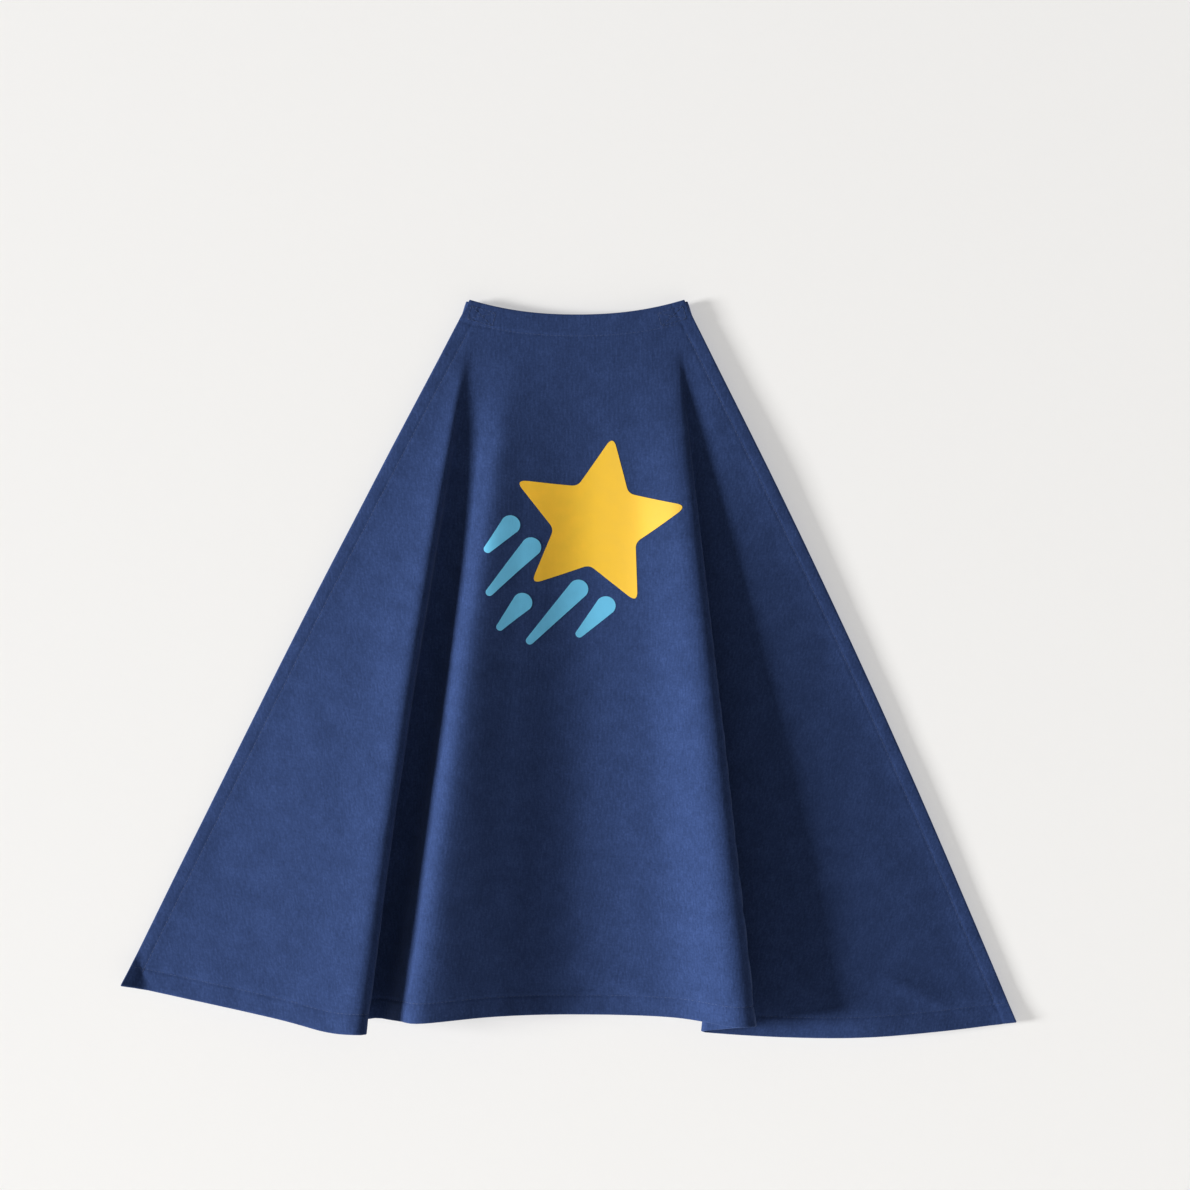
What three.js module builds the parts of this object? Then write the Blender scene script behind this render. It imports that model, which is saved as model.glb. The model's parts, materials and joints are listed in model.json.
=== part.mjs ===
// A child's dress-up cape of navy cotton, hanging from the two corners of its neckline.
// Millimetres, +Z up. The printed face looks along -Y, and the wearer's back is on the +Y side.
// The origin is the middle of the neckline's edge, in the thickness of the cloth.
import * as THREE from "three";
import { TessellateModifier } from "three/addons/modifiers/TessellateModifier.js";
import { mergeVertices } from "three/addons/utils/BufferGeometryUtils.js";

// Driving dimensions
const NECK_CHORD = 160; // straight across the neckline, corner to corner
const NECK_DIP = 11; // the neckline's middle below its corners
const NECK_CURVE = 2.2; // how late the neckline turns up: 2 is a plain parabola
const CAPE_DROP = 522; // from the neckline's middle to the hem below it
const HEM_SPREAD = 669; // across the hem as it hangs, corner to corner
const FOLD_HEIGHT = 39; // how far the tallest fold stands forward of the neckline
const YOKE = 30; // the cloth below the neckline that still hangs flat
const CLOTH = 0.8; // one layer of the cotton
const GAP = 0.3; // clearance between neighbouring layers

const FACING_CLOTH = 0.6; // the strip that finishes the neckline inside
const FACING_BELOW_TAB = 2; // how far it reaches below the closing tabs
const THREAD_WIDTH = 0.7; // a row of topstitching
const THREAD_HEIGHT = 0.4;
const NECK_STITCH_INSET = 1.5; // topstitching above the facing's lower edge
const SIDE_HEM = 10; // topstitching in from the side edges
const BOTTOM_HEM = 15; // topstitching above the bottom edge

const TAB_LENGTH = 70; // closing tab, fold to tip
const TAB_WIDTH = 15;
const TAB_CLOTH = 1.6; // two layers, sewn and turned out
const TAB_TIP_RADIUS = 5;
const TAB_MARGIN = 1; // the tab below the neckline's edge
const TAB_ROOT_LENGTH = 25; // the part sewn to the cape
const FOLD_OUT = 1; // the tab's fold outside the cape's corner
const FOLD_CLEARANCE = 0.8; // cloth left out each side of the fold's axis
const TAB_BOX_INSET = 2.5; // box stitch in from the root's edges
const HOOK_LENGTH = 25;
const LOOP_LENGTH = 35;
const PATCH_WIDTH = 12;
const PATCH_THICKNESS = 1.5;
const PATCH_TIP_MARGIN = 3; // patch back from the tab's tip

const STAR_RADIUS = 70; // centre to tip
const STAR_WAIST = 0.47; // inner corners, as a share of the tips' radius
const STAR_TILT = -10; // degrees
const STAR_X = 15;
const STAR_Z = -164;
const STREAK_ANGLE = 228; // degrees, the way the streaks trail
const STREAK_HEAD = 15; // width next to the star
const STREAK_TAIL = 6;
const PRINT_THICKNESS = 0.4;
const PRINT_STEP = 9; // longest straight edge in a print as it follows the cloth

const degrees = THREE.MathUtils.degToRad;

// The hanging cloth is ruled between the neckline and the hem. Each row is one line down the cloth:
// where it leaves the neckline (share of the chord), where it meets the hem (share of the spread),
// how far forward it stands there (share of the fold height), how far below the drop it hangs,
// and how far it bows sideways half way down.
const RULINGS = [
  { neck: -0.5, hem: -0.508, forward: -0.14, low: -21, bow: -3 }, // left side edge
  { neck: -0.492, hem: -0.34, forward: 0.44, low: 0, bow: -5 },
  { neck: -0.485, hem: -0.277, forward: 0.74, low: 9, bow: -7 },
  { neck: -0.48, hem: -0.243, forward: 0.95, low: 10, bow: -7 },
  { neck: -0.475, hem: -0.231, forward: 0.79, low: 10, bow: -7 }, // left fold's edge
  { neck: -0.45, hem: -0.244, forward: 0.14, low: 6, bow: -5 },
  { neck: -0.42, hem: -0.221, forward: 0, low: 3, bow: -4 }, // left valley
  { neck: -0.38, hem: -0.197, forward: 0.2, low: 3, bow: -3 },
  { neck: -0.345, hem: -0.182, forward: 0.64, low: 2, bow: -2 },
  { neck: -0.29, hem: -0.158, forward: 0.9, low: 2, bow: -1 }, // left ridge
  { neck: -0.17, hem: -0.09, forward: 0.53, low: -1, bow: 0 },
  { neck: 0.02, hem: 0.003, forward: 0.05, low: 0, bow: 0 }, // middle trough
  { neck: 0.21, hem: 0.105, forward: 0.45, low: 1, bow: 0 },
  { neck: 0.38, hem: 0.173, forward: 1, low: 4, bow: 0 }, // right ridge
  { neck: 0.44, hem: 0.198, forward: 0.85, low: 4, bow: 1 }, // right fold's edge
  { neck: 0.46, hem: 0.156, forward: 0.28, low: 10, bow: 2 },
  { neck: 0.47, hem: 0.142, forward: 0.09, low: 13, bow: 2 },
  { neck: 0.478, hem: 0.227, forward: 0.05, low: 17, bow: 3 },
  { neck: 0.487, hem: 0.315, forward: 0.13, low: 17, bow: 5 },
  { neck: 0.495, hem: 0.405, forward: 0.03, low: 13, bow: 6 },
  { neck: 0.5, hem: 0.491, forward: -0.14, low: 7, bow: 7 }, // right side edge
];

const neckEdge = (x) => NECK_DIP * Math.pow(Math.abs(x) / (NECK_CHORD / 2), NECK_CURVE);

const curveThrough = (points) => new THREE.CatmullRomCurve3(points, false, "catmullrom", 0.5);
const neckCurve = curveThrough(RULINGS.map(({ neck }) => new THREE.Vector3(neck * NECK_CHORD, 0, 0)));
const hemCurve = curveThrough(
  RULINGS.map(
    ({ hem, forward, low }) =>
      new THREE.Vector3(hem * HEM_SPREAD, -forward * FOLD_HEIGHT, -CAPE_DROP - low),
  ),
);
const bowCurve = curveThrough(RULINGS.map(({ bow }) => new THREE.Vector3(bow, 0, 0)));

// How much of its height a fold has reached a share of the way down.
function fullness(down) {
  const yoke = YOKE / CAPE_DROP;
  const below = Math.max(0, (down - yoke) / (1 - yoke));
  return below * (1.6 - 0.6 * below) * (below / (below + 0.02));
}

// The middle of the cloth: across runs 0 to 1 from the left edge to the right, down 0 to 1.
function clothPoint(across, down) {
  const top = neckCurve.getPoint(across);
  const bottom = hemCurve.getPoint(across);
  const bow = bowCurve.getPoint(across).x * Math.sin(Math.PI * down);
  return new THREE.Vector3(
    THREE.MathUtils.lerp(top.x, bottom.x, down) + bow,
    bottom.y * fullness(down),
    THREE.MathUtils.lerp(neckEdge(top.x), bottom.z, down),
  );
}

// The cloth's normal, pointing to the wearer's side.
function clothNormal(across, down) {
  const step = 1e-3;
  const left = Math.max(0, across - step);
  const right = Math.min(1, across + step);
  const above = Math.max(0, down - step);
  const below = Math.min(1, down + step);
  const alongWeft = clothPoint(right, down).sub(clothPoint(left, down));
  const alongWarp = clothPoint(across, below).sub(clothPoint(across, above));
  return alongWeft.cross(alongWarp).normalize();
}

// Finds where a rising function crosses zero between two values.
function solve(rising, low, high) {
  for (let i = 0; i < 40; i++) {
    const middle = (low + high) / 2;
    if (rising(middle) < 0) low = middle;
    else high = middle;
  }
  return (low + high) / 2;
}

// A closed slab bent into shape: place(across, down, back) takes three shares from 0 to 1.
function bentSlab(columns, rows, place) {
  const slab = new THREE.BoxGeometry(1, 1, 1, columns, rows, 1);
  slab.deleteAttribute("normal");
  slab.deleteAttribute("uv");
  const position = slab.getAttribute("position");
  for (let i = 0; i < position.count; i++) {
    const [x, y, z] = [position.getX(i), position.getY(i), position.getZ(i)];
    const point = place(x + 0.5, 0.5 - y, 0.5 - z);
    position.setXYZ(i, point.x, point.y, point.z);
  }
  return mergeVertices(slab, 1e-4);
}

// A flat slab cut to an outline in X and Z, between two depths.
function flatSlab(outline, front, back) {
  const slab = new THREE.ExtrudeGeometry(outline, {
    depth: back - front,
    bevelEnabled: false,
    curveSegments: 6,
  });
  return slab.rotateX(Math.PI / 2).translate(0, back, 0);
}

const finish = (color, roughness) => new THREE.MeshStandardMaterial({ color, roughness, metalness: 0 });
const cotton = finish(0x36497a, 0.9);
const tape = finish(0x33446f, 0.9);
const thread = finish(0x445a90, 0.8);
const hookAndLoop = finish(0x222c4a, 0.95);
const yellowInk = finish(0xf2be45, 0.6);
const blueInk = finish(0x6bb3d4, 0.6);

function part(name, geometry, material) {
  const mesh = new THREE.Mesh(geometry, material);
  mesh.name = name;
  return mesh;
}

// The cape's one panel of cloth
const PANEL_COLUMNS = 4 * (RULINGS.length - 1);
const PANEL_ROWS = 20;

const panel = bentSlab(PANEL_COLUMNS, PANEL_ROWS, (across, down, back) =>
  clothPoint(across, down).addScaledVector(clothNormal(across, down), CLOTH * (back - 0.5)),
);

// The facing, a curved strip behind the neckline
const facingWidth = TAB_MARGIN + TAB_WIDTH + FACING_BELOW_TAB;
const facingFront = CLOTH / 2 + GAP;
const facingBack = facingFront + FACING_CLOTH;
const facingHalf = NECK_CHORD / 2 - 1.5;

const facing = bentSlab(24, 1, (across, down, back) => {
  const x = facingHalf * (2 * across - 1);
  const y = THREE.MathUtils.lerp(facingFront, facingBack, back);
  return new THREE.Vector3(x, y, neckEdge(x) - 0.5 - (facingWidth - 0.5) * down);
});

// Rows of topstitching, each one thread lying on the printed face
function stitchRow(steps, path) {
  const onCloth = ({ across, down }) => clothPoint(across, down);
  return bentSlab(steps, 1, (along, beside, back) => {
    const here = path(along);
    const before = onCloth(path(Math.max(0, along - 1e-3)));
    const after = onCloth(path(Math.min(1, along + 1e-3)));
    const normal = clothNormal(here.across, here.down);
    const sideways = normal.clone().cross(after.sub(before)).normalize();
    const lift = CLOTH / 2 + GAP + THREAD_HEIGHT * (1 - back);
    return onCloth(here)
      .addScaledVector(sideways, THREAD_WIDTH * (beside - 0.5))
      .addScaledVector(normal, -lift);
  });
}

// The share across at which the cloth lies a distance in from a side edge.
function inFromSide(side, down, distance) {
  const edge = side < 0 ? 0 : 1;
  const edgeX = clothPoint(edge, down).x;
  const inward = (share) => side * (edgeX - clothPoint(edge - side * share, down).x) - distance;
  return edge - side * solve(inward, 0, 0.5);
}

const shareBelowNeck = (depth) => depth / CAPE_DROP;
const shareAboveHem = (height) => 1 - height / CAPE_DROP;

// The share across at a distance from the middle of the cape, measured along the cloth.
const girths = new Map();
function acrossAt(distance, down) {
  const steps = 400;
  if (!girths.has(down)) {
    const points = Array.from({ length: steps + 1 }, (_, i) => clothPoint(i / steps, down));
    const lengths = [0];
    for (let i = 1; i <= steps; i++) lengths.push(lengths[i - 1] + points[i].distanceTo(points[i - 1]));
    const middle = points.findIndex(({ x }) => x >= 0);
    const past = points[middle].x / (points[middle].x - points[middle - 1].x);
    const zero = lengths[middle] - past * (lengths[middle] - lengths[middle - 1]);
    girths.set(down, lengths.map((length) => length - zero));
  }
  const girth = girths.get(down);
  const next = THREE.MathUtils.clamp(girth.findIndex((length) => length >= distance), 1, steps);
  return (next - 1 + (distance - girth[next - 1]) / (girth[next] - girth[next - 1])) / steps;
}

const neckStitchDown = shareBelowNeck(facingWidth - NECK_STITCH_INSET);
const neckStitchHalf = facingHalf - 4;
const neckStitch = stitchRow(30, (along) => ({
  across: acrossAt(neckStitchHalf * (2 * along - 1), neckStitchDown),
  down: neckStitchDown,
}));

const sideStitch = (side) =>
  stitchRow(26, (along) => {
    const down = THREE.MathUtils.lerp(shareBelowNeck(YOKE - 6), shareAboveHem(BOTTOM_HEM + 4), along);
    return { across: inFromSide(side, down, SIDE_HEM), down };
  });

// The hem's row turns where the panel's own facets do, from the first column inside each side hem.
const hemStitchDown = shareAboveHem(BOTTOM_HEM);
const firstColumn = Math.ceil(inFromSide(-1, hemStitchDown, SIDE_HEM) * PANEL_COLUMNS);
const lastColumn = Math.floor(inFromSide(1, hemStitchDown, SIDE_HEM) * PANEL_COLUMNS);
const hemStitch = stitchRow(lastColumn - firstColumn, (along) => ({
  across: THREE.MathUtils.lerp(firstColumn, lastColumn, along) / PANEL_COLUMNS,
  down: hemStitchDown,
}));

// The closing tabs. Each is sewn behind a corner by its root and folded back on itself at the side.
// In a tab's own frame the fold is at X 0, the tab runs along +X, and Y 0 is the middle of the panel.
const neckSlope = Math.atan((NECK_DIP * NECK_CURVE) / (NECK_CHORD / 2));
const rootFront = facingBack + GAP;
const rootBack = rootFront + TAB_CLOTH;
const tabFront = rootBack + GAP;
const tabBack = tabFront + TAB_CLOTH;

function tabFrame(side) {
  const group = new THREE.Group();
  const below = TAB_MARGIN + TAB_WIDTH / 2;
  group.position.set(
    side * (NECK_CHORD / 2 + FOLD_OUT + below * Math.sin(neckSlope)),
    0,
    NECK_DIP - below * Math.cos(neckSlope),
  );
  group.rotation.y = side < 0 ? neckSlope : Math.PI - neckSlope;
  return group;
}

function rectangle(start, end, width) {
  const half = width / 2;
  return new THREE.Shape()
    .moveTo(start, -half)
    .lineTo(end, -half)
    .lineTo(end, half)
    .lineTo(start, half)
    .closePath();
}

function tabOutline() {
  const half = TAB_WIDTH / 2;
  const round = TAB_LENGTH - TAB_TIP_RADIUS;
  const side = half - TAB_TIP_RADIUS;
  return new THREE.Shape()
    .moveTo(FOLD_CLEARANCE, -half)
    .lineTo(round, -half)
    .absarc(round, -side, TAB_TIP_RADIUS, -Math.PI / 2, 0)
    .lineTo(TAB_LENGTH, side)
    .absarc(round, side, TAB_TIP_RADIUS, 0, Math.PI / 2)
    .lineTo(FOLD_CLEARANCE, half)
    .closePath();
}

// A rectangle of stitching with a cross in it: a frame with four three-cornered windows.
function boxStitchOutline() {
  const start = FOLD_CLEARANCE + TAB_BOX_INSET;
  const end = TAB_ROOT_LENGTH - TAB_BOX_INSET;
  const width = TAB_WIDTH - 2 * TAB_BOX_INSET;
  const outline = rectangle(start, end, width);
  const middle = (start + end) / 2;
  const halfLength = (end - start) / 2 - THREAD_WIDTH;
  const halfWidth = width / 2 - THREAD_WIDTH;
  const slant = Math.hypot(halfLength, halfWidth);
  const alongSide = (THREAD_WIDTH / 2) * (slant / halfWidth);
  const alongEnd = (THREAD_WIDTH / 2) * (slant / halfLength);
  for (const sign of [-1, 1]) {
    outline.holes.push(
      new THREE.Path()
        .moveTo(middle - sign * (halfLength - alongSide), sign * halfWidth)
        .lineTo(middle + sign * (halfLength - alongSide), sign * halfWidth)
        .lineTo(middle, sign * alongEnd)
        .closePath(),
      new THREE.Path()
        .moveTo(middle + sign * halfLength, -sign * (halfWidth - alongEnd))
        .lineTo(middle + sign * halfLength, sign * (halfWidth - alongEnd))
        .lineTo(middle + sign * alongSide, 0)
        .closePath(),
    );
  }
  return outline;
}

const patchEnd = TAB_LENGTH - PATCH_TIP_MARGIN;
const threadFront = -(CLOTH / 2 + GAP + THREAD_HEIGHT);
const threadBack = -(CLOTH / 2 + GAP);

function closingTab(side, name) {
  const frame = tabFrame(side);
  const rootOutline = rectangle(FOLD_CLEARANCE, TAB_ROOT_LENGTH, TAB_WIDTH);
  frame.add(
    part(`${name}_tab_root`, flatSlab(rootOutline, rootFront, rootBack), tape),
    part(`${name}_tab`, flatSlab(tabOutline(), tabFront, tabBack), tape),
    part(`${name}_tab_box_stitch`, flatSlab(boxStitchOutline(), threadFront, threadBack), thread),
  );
  return frame;
}

// The hooks face the cape's back and the loops face away from it, so that one tab laps the other.
const leftTab = closingTab(-1, "left");
const hookOutline = rectangle(patchEnd - HOOK_LENGTH, patchEnd, PATCH_WIDTH);
const hookBack = tabFront - GAP;
const hookPatch = flatSlab(hookOutline, hookBack - PATCH_THICKNESS, hookBack);
leftTab.add(part("hook_patch", hookPatch, hookAndLoop));

const rightTab = closingTab(1, "right");
const loopOutline = rectangle(patchEnd - LOOP_LENGTH, patchEnd, PATCH_WIDTH);
const loopFront = tabBack + GAP;
const loopPatch = flatSlab(loopOutline, loopFront, loopFront + PATCH_THICKNESS);
rightTab.add(part("loop_patch", loopPatch, hookAndLoop));

// The print: a plain star with streaks trailing from it, pressed onto the cloth
function starOutline() {
  const corners = [];
  for (let i = 0; i < 10; i++) {
    const radius = i % 2 ? STAR_RADIUS * STAR_WAIST : STAR_RADIUS;
    const angle = degrees(90 + STAR_TILT + 36 * i);
    corners.push(new THREE.Vector2(radius * Math.cos(angle), radius * Math.sin(angle)));
  }
  const outline = new THREE.Shape();
  corners.forEach((corner, i) => {
    const before = corners[(i + 9) % 10];
    const after = corners[(i + 1) % 10];
    const rounding = i % 2 ? 0.1 : 0.2;
    const start = corner.clone().lerp(before, rounding);
    const end = corner.clone().lerp(after, rounding);
    if (i === 0) outline.moveTo(start.x, start.y);
    else outline.lineTo(start.x, start.y);
    outline.quadraticCurveTo(corner.x, corner.y, end.x, end.y);
  });
  return outline.closePath();
}

// A streak runs along +X from its head, and narrows to its tail.
function streakOutline(length) {
  const head = STREAK_HEAD / 2;
  const tail = STREAK_TAIL / 2;
  return new THREE.Shape()
    .moveTo(head, -head)
    .lineTo(length - tail, -tail)
    .absarc(length - tail, 0, tail, -Math.PI / 2, Math.PI / 2)
    .lineTo(head, head)
    .absarc(head, 0, head, Math.PI / 2, (3 * Math.PI) / 2)
    .closePath();
}

// Turns an outline, moves it to its place on the flat cloth, and bends it with the hanging cloth
// as a thin film on the printed face.
function printed(outline, turn, x, z) {
  const film = flatSlab(outline, 0, 1).rotateY(-turn).translate(x, 0, z);
  film.deleteAttribute("normal");
  film.deleteAttribute("uv");
  const fine = new TessellateModifier(PRINT_STEP, 12).modify(film);
  const position = fine.getAttribute("position");
  for (let i = 0; i < position.count; i++) {
    const down = shareBelowNeck(-position.getZ(i));
    const across = acrossAt(position.getX(i), down);
    const lift = CLOTH / 2 + GAP + PRINT_THICKNESS * (1 - position.getY(i));
    const point = clothPoint(across, down).addScaledVector(clothNormal(across, down), -lift);
    position.setXYZ(i, point.x, point.y, point.z);
  }
  return mergeVertices(fine, 1e-4);
}

const starPrint = printed(starOutline(), 0, STAR_X, STAR_Z);

// Each streak: how far it lies to the side of the star's middle, where it starts, how long it is
const STREAKS = [
  { aside: -47, start: 38, length: 36 },
  { aside: -24, start: 40, length: 58 },
  { aside: 0, start: 77, length: 36 },
  { aside: 24, start: 40, length: 66 },
  { aside: 48, start: 36, length: 40 },
];

function streakPrint({ aside, start, length }) {
  const turn = degrees(STREAK_ANGLE);
  const x = STAR_X + start * Math.cos(turn) - aside * Math.sin(turn);
  const z = STAR_Z + start * Math.sin(turn) + aside * Math.cos(turn);
  return printed(streakOutline(length), turn, x, z);
}

const cape = new THREE.Group();
cape.add(
  part("cape_panel", panel, cotton),
  part("neck_facing", facing, cotton),
  part("neckline_topstitch", neckStitch, thread),
  part("left_side_topstitch", sideStitch(-1), thread),
  part("right_side_topstitch", sideStitch(1), thread),
  part("bottom_hem_topstitch", hemStitch, thread),
  leftTab,
  rightTab,
  part("star_print", starPrint, yellowInk),
  ...STREAKS.map((streak, i) => part(`streak_print_${i + 1}`, streakPrint(streak), blueInk)),
);

export default cape;
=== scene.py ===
import json
import math

import bmesh
import bpy
import numpy as np
from mathutils import Matrix, Vector, noise


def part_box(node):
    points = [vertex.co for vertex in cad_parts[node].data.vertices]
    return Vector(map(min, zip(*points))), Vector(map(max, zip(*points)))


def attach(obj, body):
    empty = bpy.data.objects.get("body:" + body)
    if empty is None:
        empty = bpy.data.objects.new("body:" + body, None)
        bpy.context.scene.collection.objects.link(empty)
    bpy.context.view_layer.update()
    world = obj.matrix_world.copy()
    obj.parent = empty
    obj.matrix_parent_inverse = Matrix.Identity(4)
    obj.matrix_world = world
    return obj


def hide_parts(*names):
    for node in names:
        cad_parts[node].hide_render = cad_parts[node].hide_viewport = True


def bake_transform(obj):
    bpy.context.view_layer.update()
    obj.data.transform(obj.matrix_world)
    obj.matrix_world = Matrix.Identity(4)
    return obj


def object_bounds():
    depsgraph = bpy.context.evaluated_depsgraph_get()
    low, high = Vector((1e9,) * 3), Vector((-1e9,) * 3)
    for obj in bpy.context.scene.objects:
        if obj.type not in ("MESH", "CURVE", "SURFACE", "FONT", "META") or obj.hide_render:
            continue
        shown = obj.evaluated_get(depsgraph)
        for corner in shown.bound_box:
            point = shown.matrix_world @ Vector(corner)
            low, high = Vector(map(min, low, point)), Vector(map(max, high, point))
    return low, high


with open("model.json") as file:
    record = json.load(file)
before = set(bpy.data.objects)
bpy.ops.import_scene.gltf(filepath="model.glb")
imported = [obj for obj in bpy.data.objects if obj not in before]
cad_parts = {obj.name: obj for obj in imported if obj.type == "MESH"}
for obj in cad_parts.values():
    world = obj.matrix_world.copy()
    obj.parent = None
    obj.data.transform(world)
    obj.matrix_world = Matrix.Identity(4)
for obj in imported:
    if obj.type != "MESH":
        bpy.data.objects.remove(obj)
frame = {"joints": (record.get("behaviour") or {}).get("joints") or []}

cad_low, cad_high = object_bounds()


# ---- The hanging cloth ----
# The cape is one flared piece of cotton knit, held at the corners of its neckline and of its hem. It hangs in
# a deep fold and valley under each top corner, with a shallow trough between them. Every piece lies on it.
MM = 0.001
NECK_CHORD = 160 * MM
NECK_DIP = 11 * MM
NECK_CURVE = 2.2
CAPE_DROP = 522 * MM
HEM_SPREAD = 669 * MM
FOLD_HEIGHT = 39 * MM
YOKE = 30 * MM

# One row is one line down the cloth: share of the neckline, share of the hem, share of the fold height,
# millimetres below the drop, millimetres of sideways bow.
RULINGS = np.array([
    (-0.5, -0.508, -0.14, -21, -3),
    (-0.492, -0.34, 0.44, 0, -5),
    (-0.485, -0.277, 0.74, 9, -7),
    (-0.48, -0.243, 0.95, 10, -5),
    (-0.475, -0.231, 0.79, 10, -3),
    (-0.45, -0.244, 0.14, 6, 0),
    (-0.415, -0.226, 0, 3, 2),
    (-0.372, -0.211, 0.18, 3, 2),
    (-0.325, -0.196, 0.58, 2, 1),
    (-0.26, -0.17, 0.9, 2, 0),
    (-0.17, -0.09, 0.53, -1, 0),
    (0.02, 0.003, 0.05, 0, 0),
    (0.21, 0.105, 0.25, 1, 0),
    (0.38, 0.173, 1, 4, 0),
    (0.44, 0.198, 0.85, 4, 1),
    (0.46, 0.156, 0.28, 10, 8),
    (0.47, 0.142, 0.09, 13, 12),
    (0.478, 0.227, 0.05, 17, 8),
    (0.487, 0.315, 0.13, 17, 6),
    (0.495, 0.405, 0.03, 13, 6),
    (0.5, 0.491, -0.14, 7, 7),
])


def cubic(a, b, c, d, t):
    """The smooth curve from b to c, at t from 0 to 1, where a comes before b and d after c."""
    bend = (2 * a - 5 * b + 4 * c - d) * t ** 2
    return 0.5 * (2 * b + (c - a) * t + bend + (3 * b - a - 3 * c + d) * t ** 3)


def spline(points, place):
    """The smooth curve through evenly spaced rows of points, at places counted in rows."""
    ends = np.concatenate([2 * points[:1] - points[1:2], points, 2 * points[-1:] - points[-2:-1]])
    place = np.clip(place, 0, len(points) - 1)
    first = np.minimum(place.astype(int), len(points) - 2)
    a, b, c, d = (ends[first + i] for i in range(4))
    return cubic(a, b, c, d, (place - first)[:, None])


# A fold gains height fast below the yoke and more slowly towards the hem, from a soft start.
EARLY_GAIN = 1.6
LATE_LOSS = 0.6
SOFT_START = 0.02


def fullness(down):
    """How much of its height a fold has reached, a share of the way down."""
    yoke = YOKE / CAPE_DROP
    below = np.clip((down - yoke) / (1 - yoke), 0, None)
    return below * (EARLY_GAIN - LATE_LOSS * below) * below / (below + SOFT_START)


FINE_COLUMNS = 1200


def ruled_row(down, count):
    """The points of one row of the cloth, evenly spaced along it, and its length."""
    neck, hem, forward, low, bow = spline(RULINGS, np.linspace(0, len(RULINGS) - 1, FINE_COLUMNS)).T
    top_x = neck * NECK_CHORD
    top_z = NECK_DIP * np.abs(top_x / (NECK_CHORD / 2)) ** NECK_CURVE
    x = top_x * (1 - down) + hem * HEM_SPREAD * down + bow * MM * math.sin(math.pi * down)
    y = -forward * FOLD_HEIGHT * fullness(down)
    z = top_z * (1 - down) - (CAPE_DROP + low * MM) * down
    points = np.stack([x, y, z], 1)
    girth = np.concatenate([[0], np.cumsum(np.linalg.norm(np.diff(points, axis=0), axis=1))])
    even = np.linspace(0, girth[-1], count)
    return np.stack([np.interp(even, girth, points[:, i]) for i in range(3)], 1), girth[-1]


GRID_COLUMNS = 141
GRID_ROWS = 101
rows = [ruled_row(down, GRID_COLUMNS) for down in np.linspace(0, 1, GRID_ROWS)]
ruled = np.array([points for points, _ in rows])
widths = np.array([width for _, width in rows])


def bent_grid(name, columns, rows_down, place):
    """A grid made with the operator, its vertices then laid where place(across, down) says."""
    bm = bmesh.new()
    bmesh.ops.create_grid(bm, x_segments=columns, y_segments=rows_down, size=0.5)
    shares = np.array([(v.co.x + 0.5, 0.5 - v.co.y) for v in bm.verts])
    for vertex, point in zip(bm.verts, place(shares[:, 0], shares[:, 1])):
        vertex.co = point
    made = bpy.data.meshes.new(name)
    bm.to_mesh(made)
    bm.free()
    made.shade_smooth()
    piece = bpy.data.objects.new(name, made)
    bpy.context.scene.collection.objects.link(piece)
    return piece


def grid_index(across, down):
    """The row and the column of the cloth's grid at shares across and down."""
    column = np.rint(across * (GRID_COLUMNS - 1)).astype(int)
    row = np.rint(down * (GRID_ROWS - 1)).astype(int)
    return row, column


# How firmly the settling cloth is tied: wholly in the yoke and at the hem's corners, and softly elsewhere, a little
# more so near its side edges. The shares are of the way down and in from a side.
YOKE_SHARE = 0.05
CORNER_DOWN = 0.955
CORNER_IN = 0.02
SOFT_TIE = 0.3
EDGE_TIE = 0.3
EDGE_REACH = 0.02
SETTLING_FRAMES = 25
SMOOTHINGS = 4
MOST_MOVED = 5 * MM


def simulate(points):
    """Lets the cloth settle under its own weight, tied firmly at its held places and softly elsewhere."""
    shares = []

    def lay(across, down):
        shares.extend([across, down])
        return points[grid_index(across, down)]

    cloth = bent_grid("settling_cloth", GRID_COLUMNS - 1, GRID_ROWS - 1, lay)
    across, down = shares
    held = cloth.vertex_groups.new(name="held")
    edge = np.minimum(across, 1 - across)
    for i in range(len(across)):
        firm = 1.0 if down[i] < YOKE_SHARE else SOFT_TIE + EDGE_TIE * math.exp(-edge[i] / EDGE_REACH)
        if down[i] > CORNER_DOWN and edge[i] < CORNER_IN:
            firm = 1.0
        held.add([i], firm, "REPLACE")
    settings = cloth.modifiers.new("cloth", "CLOTH").settings
    settings.vertex_group_mass = "held"
    settings.quality = 6
    settings.mass = 0.12
    settings.tension_stiffness = 25
    settings.compression_stiffness = 25
    settings.shear_stiffness = 12
    settings.bending_stiffness = 25
    settings.air_damping = 3
    settings.pin_stiffness = 3
    for time in range(SETTLING_FRAMES):
        bpy.context.scene.frame_set(time + 1)
    settled = cloth.evaluated_get(bpy.context.evaluated_depsgraph_get()).to_mesh()
    flat = np.zeros(len(across) * 3)
    settled.vertices.foreach_get("co", flat)
    result = points.copy()
    result[grid_index(across, down)] = flat.reshape(-1, 3)
    bpy.data.objects.remove(cloth)
    bpy.context.scene.frame_set(1)
    moved = result - points
    for _ in range(SMOOTHINGS):
        beside = np.roll(moved, 2, 1) + np.roll(moved, -2, 1)
        moved[:, 2:-2] = (moved * 2 + beside)[:, 2:-2] / 4
    far = np.linalg.norm(moved, axis=2, keepdims=True)
    return points + moved * np.minimum(1, MOST_MOVED / np.maximum(far, 1e-9))


# No part of the cloth's middle goes further back than this.
WALL_SIDE = cad_high.y - 1.2 * MM
hanging = simulate(ruled)
hanging[..., 1] = np.minimum(hanging[..., 1], WALL_SIDE)


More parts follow.
